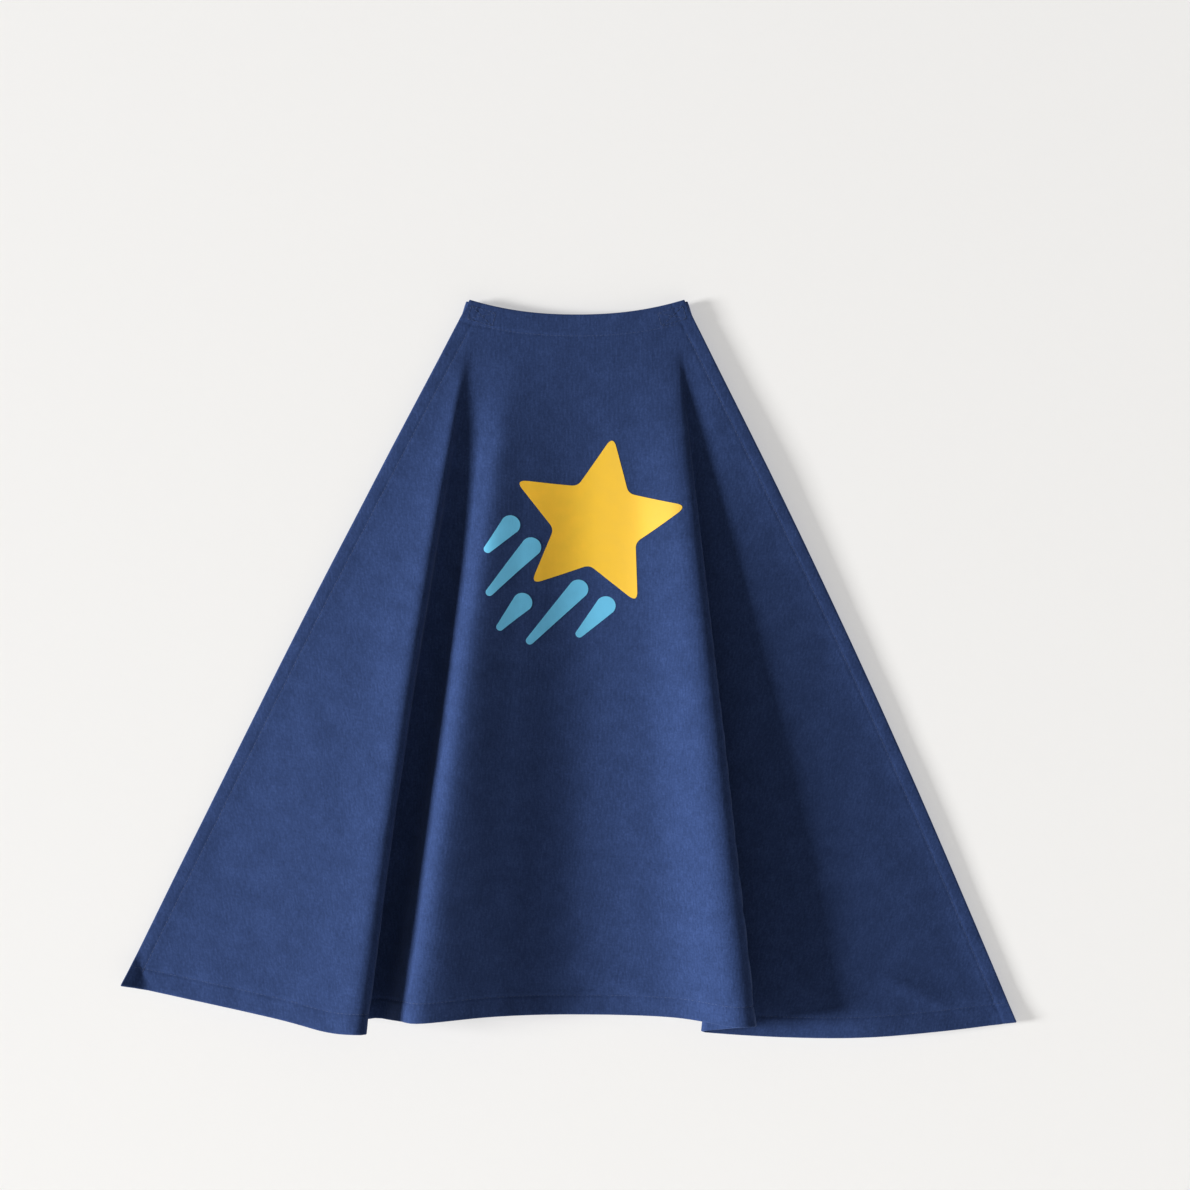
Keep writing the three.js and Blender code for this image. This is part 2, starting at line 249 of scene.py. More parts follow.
def cloth_middle(across, down):
    """The middle of the settled cloth, at shares across and down."""
    rows_wanted = down * (GRID_ROWS - 1)
    columns_wanted = across * (GRID_COLUMNS - 1)
    first = np.clip(rows_wanted.astype(int), 0, GRID_ROWS - 2)
    picked = []
    for i in range(-1, 3):
        row = np.clip(first + i, 0, GRID_ROWS - 1)
        column = np.clip(columns_wanted.astype(int), 0, GRID_COLUMNS - 2)
        t = (columns_wanted - column)[:, None]
        a, b, c, d = (hanging[row, np.clip(column + j, 0, GRID_COLUMNS - 1)] for j in range(-1, 3))
        picked.append(cubic(a, b, c, d, t))
    return cubic(*picked, (rows_wanted - first)[:, None])


def width_at(down):
    """The cloth's width along its folds, a share of the way down."""
    return np.interp(down, np.linspace(0, 1, GRID_ROWS), widths)


# The cloth's mean length from its neckline to its hem
LENGTH = float(np.mean(np.linalg.norm(np.diff(hanging, axis=0), axis=2).sum(0)))


# ---- Creases and puckers ----
# Cotton that has been folded and hung isn't smooth: shallow creases run down it, the stitching puckers the
# hems, and the hem's corners turn up off the wall beyond the points that hold them.
SIDE_HEM = 10 * MM
BOTTOM_HEM = 15 * MM
NECK_BAND = 16.5 * MM

# Slow waves of the whole cloth: changes per metre across, changes per metre down, slice of the noise, and height
# in millimetres
WAVES = [(14, 2.2, 3.1, 0.8), (46, 9, 7.7, 0.28)]

# Puckers along the hems' stitches: changes per metre, height in millimetres, and reach
BOTTOM_PUCKER = (120, 0.75, 9 * MM)
SIDE_PUCKER = (110, 0.3, 5 * MM)

# Heights in millimetres: the side edges' curl towards the front, the grooves under the stitches, and the band of
# doubled cloth at the neckline
CURL = 2.1
CURL_REACH = 13 * MM
BOTTOM_GROOVE = 0.5
OTHER_GROOVE = 0.3
GROOVE_REACH = 0.9 * MM
BAND = 0.35
BAND_EDGE = 2 * MM

# Soft creases near the hem: millimetres from the middle, millimetres above the hem, half length, half width,
# degrees of turn, height
CREASES = [
    (16, 28, 22, 4, -20, 1.1),
    (-2, 20, 15, 3, 12, -0.7),
    (338, 31, 28, 3.5, -24, 1.9),
    (352, 40, 22, 4.5, -20, -0.9),
    (275, 24, 24, 4, 14, -0.8),
    (385, 22, 20, 4, -10, 0.8),
    (-250, 30, 26, 5, 10, 0.7),
    (-345, 26, 22, 4, -14, 0.7),
    (110, 26, 16, 4, 60, 0.6),
]


def near(distance, reach):
    """1 at a line on the cloth, falling smoothly to nothing beyond its reach."""
    return np.exp(-(distance / reach) ** 2)


def relief(from_middle, below_neck, above_hem, in_from_side):
    """How far the cloth stands off its smooth shape towards the front, in metres, from places on it in metres."""
    height = np.zeros(len(from_middle))
    for i, (x, z) in enumerate(zip(from_middle, below_neck)):
        for across, down, part, tall in WAVES:
            height[i] += tall * noise.noise(Vector((x * across, z * down, part)))
    height *= np.clip(below_neck / 0.06, 0.15, 1)
    for middle, above, half_length, half_width, turn, tall in CREASES:
        c, s = math.cos(math.radians(turn)), math.sin(math.radians(turn))
        dx = from_middle / MM - middle
        dz = above_hem / MM - above
        along = (dx * c + dz * s) / half_length
        beside = (dz * c - dx * s) / half_width
        height += tall * np.exp(-along ** 2 - beside ** 2)
    often, tall, reach = BOTTOM_PUCKER
    pucker = np.array([noise.noise(Vector((x * often, 0.5, 0))) for x in from_middle])
    height += tall * pucker * near(above_hem - BOTTOM_HEM * 0.8, reach)
    often, tall, reach = SIDE_PUCKER
    pucker = np.array([noise.noise(Vector((z * often, 9.5, 0))) for z in below_neck])
    height += tall * pucker * near(in_from_side - SIDE_HEM, reach)
    height += CURL * near(in_from_side, CURL_REACH) * np.clip((below_neck - 0.02) / 0.1, 0, 1)
    height -= BOTTOM_GROOVE * near(above_hem - BOTTOM_HEM, GROOVE_REACH) * (in_from_side > SIDE_HEM)
    height -= OTHER_GROOVE * near(in_from_side - SIDE_HEM, GROOVE_REACH)
    height -= OTHER_GROOVE * near(below_neck - NECK_BAND, GROOVE_REACH)
    height += BAND * np.clip((NECK_BAND - below_neck) / BAND_EDGE, 0, 1)
    return height * MM


# A corner's crease cuts off these lengths of the side edge and the hem.
CORNER_ACROSS = 18 * MM
CORNER_UP = 26 * MM
LEFT_TURN = 8 * MM
RIGHT_TURN = 2 * MM


def corner_turn(from_middle, above_hem, in_from_side):
    """How far the hem's free corners are bent up off the wall, along a crease, in metres."""
    past = np.clip(1 - in_from_side / CORNER_ACROSS - above_hem / CORNER_UP, 0, 1)
    return past * np.where(from_middle < 0, LEFT_TURN, RIGHT_TURN)


def on_cloth(girth, below, behind=0.0):
    """Points on the cloth, and its normals there, from metres in along each row, share down and metres behind."""
    width = width_at(below)
    share = np.clip(girth / width, 0, 1)
    point = cloth_middle(share, below)
    step = 1e-3
    left = cloth_middle(np.clip(share - step, 0, 1), below)
    right = cloth_middle(np.clip(share + step, 0, 1), below)
    above = cloth_middle(share, np.clip(below - step, 0, 1))
    under = cloth_middle(share, np.clip(below + step, 0, 1))
    normal = np.cross(right - left, under - above)
    normal /= np.linalg.norm(normal, axis=1, keepdims=True)
    from_middle = girth - width / 2
    above_hem = (1 - below) * LENGTH
    in_from_side = np.minimum(girth, width - girth)
    height = relief(from_middle, below * LENGTH, above_hem, in_from_side)
    point = point + normal * (behind - height)[:, None]
    point[:, 1] -= corner_turn(from_middle, above_hem, in_from_side)
    return point, normal


# ---- The cape's panel ----
# One layer of navy cotton knit. Its side edges are turned 10 mm, its bottom edge 15 mm, with their raw edges tucked
# in, and its neckline is turned under the facing. The turned cloth lies behind and shows from the back.
CLOTH = 0.6 * MM
HEM_RADIUS = 0.75 * MM
NECK_RADIUS = 0.35 * MM
NECK_TURNING = 5 * MM


FLAP_STEPS = 6


def edge_stations(turning, radius, zone, zone_steps):
    """Stations over a turned edge, from the raw edge to the zone: metres in from the edge and metres behind."""
    raw = [
        (turning - 1.5 * MM, 0.9 * radius),
        (turning + 0.2 * MM, 1.1 * radius),
        (turning + 0.6 * MM, 1.6 * radius),
    ]
    flap = [(turning * (1 - i / FLAP_STEPS) + radius * (i / FLAP_STEPS), 2 * radius) for i in range(FLAP_STEPS)]
    turn = [(radius * (1 + math.sin(a)), radius * (1 + math.cos(a))) for a in np.linspace(0, -math.pi, 7)]
    inside = [(radius + (zone - radius) * i / zone_steps, 0.0) for i in range(1, zone_steps + 1)]
    return np.array(raw + flap + turn + inside)


# The turned cloth reaches a little past its stitches.
PAST_STITCHES = 1.2 * MM
side_stations = edge_stations(SIDE_HEM + PAST_STITCHES, HEM_RADIUS, SIDE_HEM + 4 * MM, 12)
hem_stations = edge_stations(BOTTOM_HEM + PAST_STITCHES, HEM_RADIUS, BOTTOM_HEM + 5 * MM, 18)
neck_stations = edge_stations(NECK_TURNING, NECK_RADIUS, NECK_BAND + 4 * MM, 16)
BODY_COLUMNS = 150
BODY_ROWS = 108

# Each column: share of the row's width, metres added to it, metres behind
side_zone = side_stations[-1, 0]
left_columns = [(0, inward, behind) for inward, behind in side_stations]
body_columns = [(f, side_zone * (1 - 2 * f), 0) for f in np.linspace(0, 1, BODY_COLUMNS)[1:-1]]
right_columns = [(1, -inward, behind) for _, inward, behind in reversed(left_columns)]
column_table = np.array(left_columns + body_columns + right_columns)

# Each row: share down, metres behind
neck_share, hem_share = neck_stations[:, 0] / LENGTH, 1 - hem_stations[:, 0] / LENGTH
body_rows = np.linspace(neck_share[-1], hem_share[-1], BODY_ROWS)[1:-1]
row_table = np.concatenate([
    np.stack([neck_share, neck_stations[:, 1]], 1),
    np.stack([body_rows, np.zeros_like(body_rows)], 1),
    np.stack([hem_share, hem_stations[:, 1]], 1)[::-1],
])

flat_places = {}


# Near the neckline the side hems are pressed flatter, to this share of their depth.
PRESSED = 0.35
PRESSED_DOWN = 22 * MM
PRESSED_FADE = 20 * MM


def lay_panel(across, down):
    """Each vertex's place: on the cloth, or behind it where an edge is turned, and twice behind at the corners."""
    column = np.rint(across * (len(column_table) - 1)).astype(int)
    row = np.rint(down * (len(row_table) - 1)).astype(int)
    below, row_behind = row_table[row].T
    share, added, column_behind = column_table[column].T
    width = width_at(below)
    girth = share * width + added
    slim = np.clip((below * LENGTH - PRESSED_DOWN) / PRESSED_FADE, PRESSED, 1)
    side = np.where((share == 0) | (share == 1), 1.0, 0.0)
    over_side_hem = np.exp(-np.clip(np.minimum(girth, width - girth) - SIDE_HEM, 0, None) / MM)
    doubled = np.where(row_behind > 0, over_side_hem * 2 * HEM_RADIUS * side, 0)
    point, _ = on_cloth(girth, below, column_behind * slim + row_behind + doubled * (below > 0.5))
    flat_places["u"] = girth - width / 2
    flat_places["v"] = -below * LENGTH
    return point


cape = bent_grid("cape_cloth", len(column_table) - 1, len(row_table) - 1, lay_panel)


def flat_map(piece, u, v):
    """Stores each vertex's place on the flat cloth, in metres, so that the knit's grain follows the cloth."""
    layer = piece.data.uv_layers.new(name="flat_cloth")
    corners = np.zeros(len(piece.data.loops), int)
    piece.data.loops.foreach_get("vertex_index", corners)
    layer.data.foreach_set("uv", np.stack([u[corners], v[corners]], 1).astype(np.float32).ravel())


flat_map(cape, flat_places["u"], flat_places["v"])
thickness = cape.modifiers.new("thickness", "SOLIDIFY")
thickness.thickness = CLOTH
thickness.offset = 0
thickness.use_even_offset = False
thickness.use_rim = True


# Knitted cotton, dyed navy: fine wales run down the cloth, in uneven yarns with small slubs that catch the light,
# under a short fuzz.
NAVY = (0.0275, 0.0525, 0.142, 1)
NAVY_LIGHT = (0.0400, 0.0720, 0.186, 1)
NAVY_DARK = (0.0195, 0.0390, 0.108, 1)


class Nodes:
    """A material's nodes, added one at a time."""

    def __init__(self, name):
        self.material = bpy.data.materials.new(name)
        self.material.use_nodes = True
        self.tree = self.material.node_tree
        self.shader = self.tree.nodes["Principled BSDF"]

    def add(self, kind, settings=None, **inputs):
        """Adds a node. An input is a socket's name, or n and its number; its value is a socket or a constant."""
        node = self.tree.nodes.new("ShaderNode" + kind)
        for key, value in (settings or {}).items():
            setattr(node, key, value)
        for key, value in inputs.items():
            numbered = key[0] == "n" and key[1:].isdigit()
            self.feed(node.inputs[int(key[1:]) if numbered else key], value)
        return node

    def feed(self, socket, value):
        if isinstance(value, bpy.types.NodeSocket):
            self.tree.links.new(value, socket)
        else:
            socket.default_value = value

    def ramp(self, source, stops):
        node = self.add("ValToRGB", Fac=source)
        while len(node.color_ramp.elements) < len(stops):
            node.color_ramp.elements.new(0.5)
        for element, (position, color) in zip(node.color_ramp.elements, stops):
            element.position = position
            element.color = color if len(color) == 4 else (*color, 1)
        return node.outputs["Color"]

    def sum(self, first, second, operation="ADD"):
        return self.add("Math", {"operation": operation}, n0=first, n1=second).outputs[0]


WALE = 0.95 * MM
COURSE = 0.8 * MM
ONE_WAVE = 0.314  # the wave texture's scale that gives one wave in one unit


def knitted_cotton(name):
    """Navy knit, its wales along the flat cloth's length."""
    nodes = Nodes(name)
    place = nodes.add("UVMap", {"uv_map": "flat_cloth"}).outputs[0]
    fine = nodes.add("Mapping", n0=place)
    fine.inputs["Scale"].default_value = (1 / WALE, 1 / COURSE, 1 / COURSE)
    yarns = nodes.add("Mapping", n0=place)
    yarns.inputs["Scale"].default_value = (760, 150, 150)
    long_yarns = nodes.add("TexNoise", Vector=yarns.outputs[0], Scale=1.0, Detail=3.0, Roughness=0.6)
    slubs = nodes.add("TexNoise", Vector=place, Scale=620.0, Detail=2.0, Roughness=0.6)
    mottle = nodes.add("TexNoise", Vector=place, Scale=55.0, Detail=4.0, Roughness=0.6)
    fibre = nodes.add("TexNoise", Vector=place, Scale=2600.0, Detail=2.0, Roughness=0.7)
    wales = nodes.add("TexWave", {"bands_direction": "X", "wave_profile": "SIN"},
                      Vector=fine.outputs[0], Scale=ONE_WAVE, Distortion=0.6, Detail=1.0)
    courses = nodes.add("TexWave", {"bands_direction": "Y", "wave_profile": "SIN"},
                        Vector=fine.outputs[0], Scale=ONE_WAVE, Distortion=0.4, Detail=1.0)
    half_yarns = nodes.sum(long_yarns.outputs[0], 0.5, "MULTIPLY")
    half_slubs = nodes.sum(slubs.outputs[0], 0.5, "MULTIPLY")
    uneven = nodes.sum(half_yarns, half_slubs)
    yarn = nodes.sum(uneven, nodes.sum(mottle.outputs[0], 0.35, "MULTIPLY"))
    tone = nodes.sum(yarn, nodes.sum(fibre.outputs[0], 0.25, "MULTIPLY"))
    tone = nodes.sum(tone, nodes.sum(wales.outputs[1], 0.05, "MULTIPLY"))
    color = nodes.ramp(tone, [(0.66, NAVY_DARK), (0.83, NAVY), (1.0, NAVY_LIGHT)])
    nodes.feed(nodes.shader.inputs["Base Color"], color)
    nodes.shader.inputs["Roughness"].default_value = 0.88
    nodes.shader.inputs["Specular IOR Level"].default_value = 0.18
    nodes.shader.inputs["Sheen Weight"].default_value = 0.22
    nodes.shader.inputs["Sheen Roughness"].default_value = 0.45
    nodes.shader.inputs["Sheen Tint"].default_value = (0.45, 0.6, 1.0, 1)
    high_wales = nodes.sum(wales.outputs[1], 0.6, "MULTIPLY")
    high_courses = nodes.sum(courses.outputs[1], 0.3, "MULTIPLY")
    knit = nodes.sum(high_wales, high_courses)
    surface = nodes.sum(knit, nodes.sum(fibre.outputs[0], 0.9, "MULTIPLY"))
    surface = nodes.sum(surface, nodes.sum(uneven, 1.6, "MULTIPLY"))
    bump = nodes.add("Bump", Strength=0.45, Distance=0.00018, Height=surface)
    nodes.feed(nodes.shader.inputs["Normal"], bump.outputs[0])
    return nodes.material


navy_knit = knitted_cotton("navy_cotton_knit")
cape.data.materials.append(navy_knit)
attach(cape, "cape")
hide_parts("cape_panel")


# ---- The neck facing ----
# A strip of the same cotton behind the neckline. It is caught in the neckline's turned edge, and its lower edge
# is held by the row of stitches that shows on the front as a band.
FACING_CLOTH = 0.42 * MM
_, facing_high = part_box("neck_facing")
facing_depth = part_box("left_tab_root")[0].y - FACING_CLOTH / 2 - 0.12 * MM
FACING_WIDTH = 18 * MM
FACING_TOP = 0.7 * MM
facing_half = facing_high.x


def lay_facing(across, down):
    """The facing follows the cloth across and down, at one flat depth behind it."""
    below = (FACING_TOP + (FACING_WIDTH - FACING_TOP) * down) / LENGTH
    from_middle = (2 * across - 1) * facing_half
    point, _ = on_cloth(width_at(below) / 2 + from_middle, below, 0.0)
    point[:, 1] = facing_depth
    flat_places["u"], flat_places["v"] = from_middle, -below * LENGTH
    return point


facing = bent_grid("neck_facing_strip", 96, 14, lay_facing)
flat_map(facing, flat_places["u"], flat_places["v"])
thickness = facing.modifiers.new("thickness", "SOLIDIFY")
thickness.thickness = FACING_CLOTH
thickness.offset = 0
facing.data.materials.append(navy_knit)
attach(facing, "cape")
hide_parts("neck_facing")


# ---- Topstitching ----
# Navy polyester thread, sewn in single stitches that sink into the knit where the needle went through: round
# the two side hems and the bottom hem, and below the neckline. Each row shows on the back as well.
STITCH = 2.6 * MM
STITCH_GAP = 0.5 * MM
THREAD = 0.42 * MM
THREAD_DEPTH = 0.38  # half of a stitch's depth, as a share of the thread
RISE = 0.12  # how far a stitch stands off the cloth, as a share of the thread


def repeated(name, shape, matrices):
    """One mesh holding a small shape once for each matrix."""
    bm = bmesh.new()
    for matrix in matrices:
        copy = shape.copy()
        copy.transform(matrix)
        bm.from_mesh(copy)
        bpy.data.meshes.remove(copy)
    mesh = bpy.data.meshes.new(name)
    bm.to_mesh(mesh)
    bm.free()
    mesh.shade_smooth()
    return mesh


bead = bmesh.new()
bmesh.ops.create_uvsphere(bead, u_segments=6, v_segments=4, radius=1)
bead_shape = bpy.data.meshes.new("stitch_bead")
bead.to_mesh(bead_shape)
bead.free()


def threads(name, stitches):
    """One mesh of many stitches, each a small six-sided bead given by its two ends and the way it faces."""
    matrices = []
    for start, end, facing_way in stitches:
        start, end = Vector(start), Vector(end)
        along = end - start
        length = along.length
        along.normalize()
        out = Vector(facing_way)
        out = (out - along * out.dot(along)).normalized()
        turn = Matrix((out.cross(along), out, along)).transposed().to_4x4()
        size = Matrix.Diagonal((THREAD / 2, THREAD * THREAD_DEPTH, length / 2, 1))
        matrices.append(Matrix.Translation((start + end) / 2) @ turn @ size)
    piece = bpy.data.objects.new(name, repeated(name, bead_shape, matrices))
    bpy.context.scene.collection.objects.link(piece)
    return piece


def sewn_path(points, ways):
    """Cuts a line of points into stitches of even length."""
    points, ways = np.asarray(points), np.asarray(ways)
    length = np.concatenate([[0], np.cumsum(np.linalg.norm(np.diff(points, axis=0), axis=1))])
    count = max(1, int(length[-1] // (STITCH + STITCH_GAP)))
    pitch = length[-1] / count
    ends = np.stack([np.arange(count) * pitch, np.arange(count) * pitch + pitch - STITCH_GAP], 1)

    def at(place, values):
        return np.stack([np.interp(place, length, values[:, i]) for i in range(3)], 1)

    return list(zip(at(ends[:, 0], points), at(ends[:, 1], points), at(ends.mean(1), ways)))


def sewn_row(girth, below, back_offset):
    """Stitches along a line on the cloth, on its front and on its back."""
    front, normal = on_cloth(girth, below, -CLOTH / 2 - THREAD * RISE)
    back, _ = on_cloth(girth, below, back_offset + CLOTH / 2 + THREAD * RISE)
    return sewn_path(front, -normal) + sewn_path(back, normal)


thread_navy = Nodes("navy_thread")
twist = thread_navy.add("TexWave", {"bands_direction": "DIAGONAL"}, Scale=900.0, Distortion=1.0,
                        Vector=thread_navy.add("TexCoord").outputs["Object"])
thread_tones = thread_navy.ramp(twist.outputs[1], [(0.0, (0.024, 0.045, 0.118)), (1.0, (0.043, 0.078, 0.190))])
thread_navy.feed(thread_navy.shader.inputs["Base Color"], thread_tones)
thread_navy.shader.inputs["Roughness"].default_value = 0.55
thread_navy.shader.inputs["Sheen Weight"].default_value = 0.15
thread_bump = thread_navy.add("Bump", Strength=0.6, Distance=0.0001, Height=twist.outputs[1])
thread_navy.feed(thread_navy.shader.inputs["Normal"], thread_bump.outputs[0])


def finish_stitches(piece, node):
    piece.data.materials.append(thread_navy.material)
    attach(piece, "cape")
    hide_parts(node)


# Lines of closely spaced places, which the stitches are cut from
side_down = np.linspace(24 * MM / LENGTH, 1 - (BOTTOM_HEM - 3 * MM) / LENGTH, 500)
side_inset = np.full_like(side_down, SIDE_HEM)
left_row = threads("left_side_stitches", sewn_row(side_inset, side_down, 2 * HEM_RADIUS))
finish_stitches(left_row, "left_side_topstitch")
right_girth = width_at(side_down) - SIDE_HEM
right_row = threads("right_side_stitches", sewn_row(right_girth, side_down, 2 * HEM_RADIUS))
finish_stitches(right_row, "right_side_topstitch")

hem_down = np.full(1600, 1 - BOTTOM_HEM / LENGTH)
hem_girth = np.linspace(3 * MM, width_at(hem_down[0]) - 3 * MM, len(hem_down))
hem_row = threads("bottom_hem_stitches", sewn_row(hem_girth, hem_down, 2 * HEM_RADIUS))
finish_stitches(hem_row, "bottom_hem_topstitch")

neck_down = np.full(400, NECK_BAND / LENGTH)
NECK_ROW_HALF = 76 * MM
neck_girth = width_at(neck_down[0]) / 2 + np.linspace(-NECK_ROW_HALF, NECK_ROW_HALF, len(neck_down))
neck_front, neck_normal = on_cloth(neck_girth, neck_down, -CLOTH / 2 - THREAD * RISE)
neck_back = neck_front.copy()
neck_back[:, 1] = facing_depth + FACING_CLOTH / 2 + THREAD * 0.1
neck_stitches = sewn_path(neck_front, -neck_normal) + sewn_path(neck_back, neck_normal)
neck_row = threads("neckline_stitches", neck_stitches)
finish_stitches(neck_row, "neckline_topstitch")


# ---- The closing tabs ----
# Each is a strap of the same cotton, sewn double, turned out and topstitched round its edge. Its root is sewn
# behind a corner of the neckline with a crossed box of stitches, and the rest folds back behind the neckline.
TAB_WIDTH = 15 * MM
TAB_LENGTH = 70 * MM
TAB_THICKNESS = 1.6 * MM
TAB_TIP_RADIUS = 5 * MM
TAB_ROOT = 25 * MM
EDGE_INSET = 2 * MM
BOX_INSET = 2.5 * MM
FOLD_END = 0.4 * MM
joints = {joint["name"]: joint for joint in frame["joints"]}
ROUND_STEPS = 9


def tab_matrix(side):
    """From a tab's own frame to the cape's: X along the tab from its fold, Y to the back, Z across it."""
    joint = joints["left_tab_swing" if side < 0 else "right_tab_swing"]
    hinge, axis = Vector(joint["pos_m"]), Vector(joint["axis"]).normalized()
    back = Vector((0, 1, 0))
    along = back.cross(axis)
    return Matrix.Translation(hinge) @ Matrix((along, back, axis)).transposed().to_4x4()


fold_gap = (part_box("left_tab")[0].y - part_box("left_tab_root")[1].y) / 2
fold_radius = fold_gap + TAB_THICKNESS / 2
root_line = [(TAB_ROOT - i * (TAB_ROOT - FOLD_END) / 14, -fold_radius) for i in range(15)]
turn_line = [(-fold_radius * math.sin(a), -fold_radius * math.cos(a))
             for a in np.linspace(0, math.pi, ROUND_STEPS)]
free_line = [(FOLD_END + x, fold_radius) for x in np.linspace(0, TAB_LENGTH - TAB_TIP_RADIUS, 34)]
tip_line = [(TAB_LENGTH - TAB_TIP_RADIUS * (1 - math.sin(a)), fold_radius)
            for a in np.linspace(0.12, math.pi / 2, 12)]
tab_line = np.array(root_line + turn_line + free_line + tip_line)


# The strap's section: how its vertices crowd to its edges, how square its edges are, and how far and how widely
# its edge stitches draw it in
CROSS_SPACING = 0.55
EDGE_ROUNDNESS = 12
SEWN_IN = 0.16
SEWN_REACH = 0.6 * MM


def lay_strap(matrix):
    """A pillowy band round the tab's line: thick in the middle, drawn in under its edge stitches."""
    step = np.gradient(tab_line, axis=0)
    step /= np.linalg.norm(step, axis=1, keepdims=True)
    sideways = np.stack([-step[:, 1], step[:, 0]], 1)

    def lay(across, down):
        station = np.rint(across * (len(tab_line) - 1)).astype(int)
        angle = 2 * math.pi * down
        x = tab_line[station, 0]
        on_free = station >= len(root_line) + len(turn_line)
        past = np.clip((x - (TAB_LENGTH - TAB_TIP_RADIUS)) / TAB_TIP_RADIUS, 0, 1) * on_free
        half = TAB_WIDTH / 2 - TAB_TIP_RADIUS * (1 - np.sqrt(np.clip(1 - past ** 2, 0, 1)))
        root_end = np.clip((x - (TAB_ROOT - 0.8 * MM)) / (0.8 * MM), 0, 1) * (station < 3)
        closing = np.sqrt(np.clip(1 - np.maximum(past ** 14, root_end ** 2) * 0.93, 0, 1))
        z = np.sign(np.cos(angle)) * np.abs(np.cos(angle)) ** CROSS_SPACING
        thick = np.clip(1 - np.abs(z) ** EDGE_ROUNDNESS, 0, 1) ** 0.5
        thick = thick * (1 - SEWN_IN * near(np.abs(z) * half - half + EDGE_INSET, SEWN_REACH))
        out = np.sign(np.sin(angle)) * thick * TAB_THICKNESS / 2 * closing
        middle = tab_line[station] + sideways[station] * out[:, None]
        local = np.stack([middle[:, 0], middle[:, 1], z * half], 1)
        flat_places["u"], flat_places["v"] = z * half, -x
        turn = np.array(matrix)
        return local @ turn[:3, :3].T + turn[:3, 3]

    return lay


def make_tab(side, name):
    matrix = tab_matrix(side)
    strap = bent_grid(name + "_strap", len(tab_line) - 1, 40, lay_strap(matrix))
    flat_map(strap, flat_places["u"], flat_places["v"])
    bm = bmesh.new()
    bm.from_mesh(strap.data)
    bmesh.ops.remove_doubles(bm, verts=bm.verts, dist=0.01 * MM)
    bmesh.ops.holes_fill(bm, edges=bm.edges, sides=60)
    bmesh.ops.recalc_face_normals(bm, faces=bm.faces)
    bm.to_mesh(strap.data)
    bm.free()
    strap.data.shade_smooth()
    strap.data.materials.append(navy_knit)
    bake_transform(strap)
    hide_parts(name + "_tab_root", name + "_tab")
    return matrix


def tab_point(matrix, x, depth, z):
    return matrix @ Vector((x, depth, z))


def edge_row(matrix, depth, way):
    """The row of stitches round a tab's free length, a little in from its edge."""
    half, radius = TAB_WIDTH / 2 - EDGE_INSET, TAB_TIP_RADIUS - EDGE_INSET
    end = TAB_LENGTH - TAB_TIP_RADIUS
    quarter = np.linspace(0, math.pi / 2, 7)
    outline = [(EDGE_INSET, -half), (end, -half)]
    outline += [(end + radius * math.sin(a), -half + radius * (1 - math.cos(a))) for a in quarter]
    outline += [(end + radius * math.cos(a), half - radius * (1 - math.sin(a))) for a in quarter]
    outline += [(end, half), (EDGE_INSET, half)]
    points = [tab_point(matrix, x, depth, z) for x, z in outline]
    return sewn_path(points, [Vector((0, way, 0))] * len(points))


def box_row(matrix, depth, way):
    """One side of the crossed box that holds a root, sewn through the root, the facing and the panel."""
    start, end, half = 3.3 * MM, TAB_ROOT - BOX_INSET, TAB_WIDTH / 2 - BOX_INSET
    loop = [(start, -half), (end, -half), (end, half), (start, half), (start, -half), (end, half)]
    cross = [(start, half), (end, -half)]
    stitches = []
    for line in (loop, cross):
        for first, second in zip(line, line[1:]):
            ends = [tab_point(matrix, x, 0, z) for x, z in (first, second)]
            points = [ends[0].lerp(ends[1], t) for t in np.linspace(0, 1, 12)]
            for point in points:
                point.y = depth
            stitches += sewn_path(points, [Vector((0, way, 0))] * len(points))
    return stitches


left_matrix = make_tab(-1, "left")
right_matrix = make_tab(1, "right")
panel_front = -(CLOTH / 2 + BAND * MM + THREAD * 0.1)
face_depth = TAB_THICKNESS * 0.43  # where the edge stitches draw the strap in
for side_name, matrix in (("left", left_matrix), ("right", right_matrix)):
    root_back = matrix.translation.y - fold_radius + TAB_THICKNESS / 2
    box_stitches = box_row(matrix, panel_front, -1) + box_row(matrix, root_back, 1)
    box = threads(side_name + "_box_stitches", box_stitches)
    finish_stitches(box, side_name + "_tab_box_stitch")
    edge_stitches = edge_row(matrix, fold_radius + face_depth, 1) + edge_row(matrix, fold_radius - face_depth, -1)
    edge = threads(side_name + "_tab_edge_stitches", edge_stitches)
    edge.data.materials.append(thread_navy.material)
    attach(edge, side_name + "_closing_tab")


# ---- The hook and loop patches ----
# Nylon tape, sewn near the tabs' tips: stiff hooks on the left tab's inner face and brushed loops on the right
# tab's outer face, so that the left tab laps over the right one under the chin.
def tape_material(name, dark, light, roughness):
    nodes = Nodes(name)
    place = nodes.add("TexCoord").outputs["Object"]
    weave = nodes.add("TexVoronoi", Vector=place, Scale=1400.0)
    fuzz = nodes.add("TexNoise", Vector=place, Scale=3000.0, Detail=3.0)
    tone = nodes.sum(weave.outputs[0], fuzz.outputs[0], "MULTIPLY")
    nodes.feed(nodes.shader.inputs["Base Color"], nodes.ramp(tone, [(0.0, dark), (0.6, light)]))
    nodes.shader.inputs["Roughness"].default_value = roughness
    nodes.shader.inputs["Sheen Weight"].default_value = 0.3
    bump = nodes.add("Bump", Strength=0.7, Distance=0.0002, Height=tone)
    nodes.feed(nodes.shader.inputs["Normal"], bump.outputs[0])
    return nodes.material


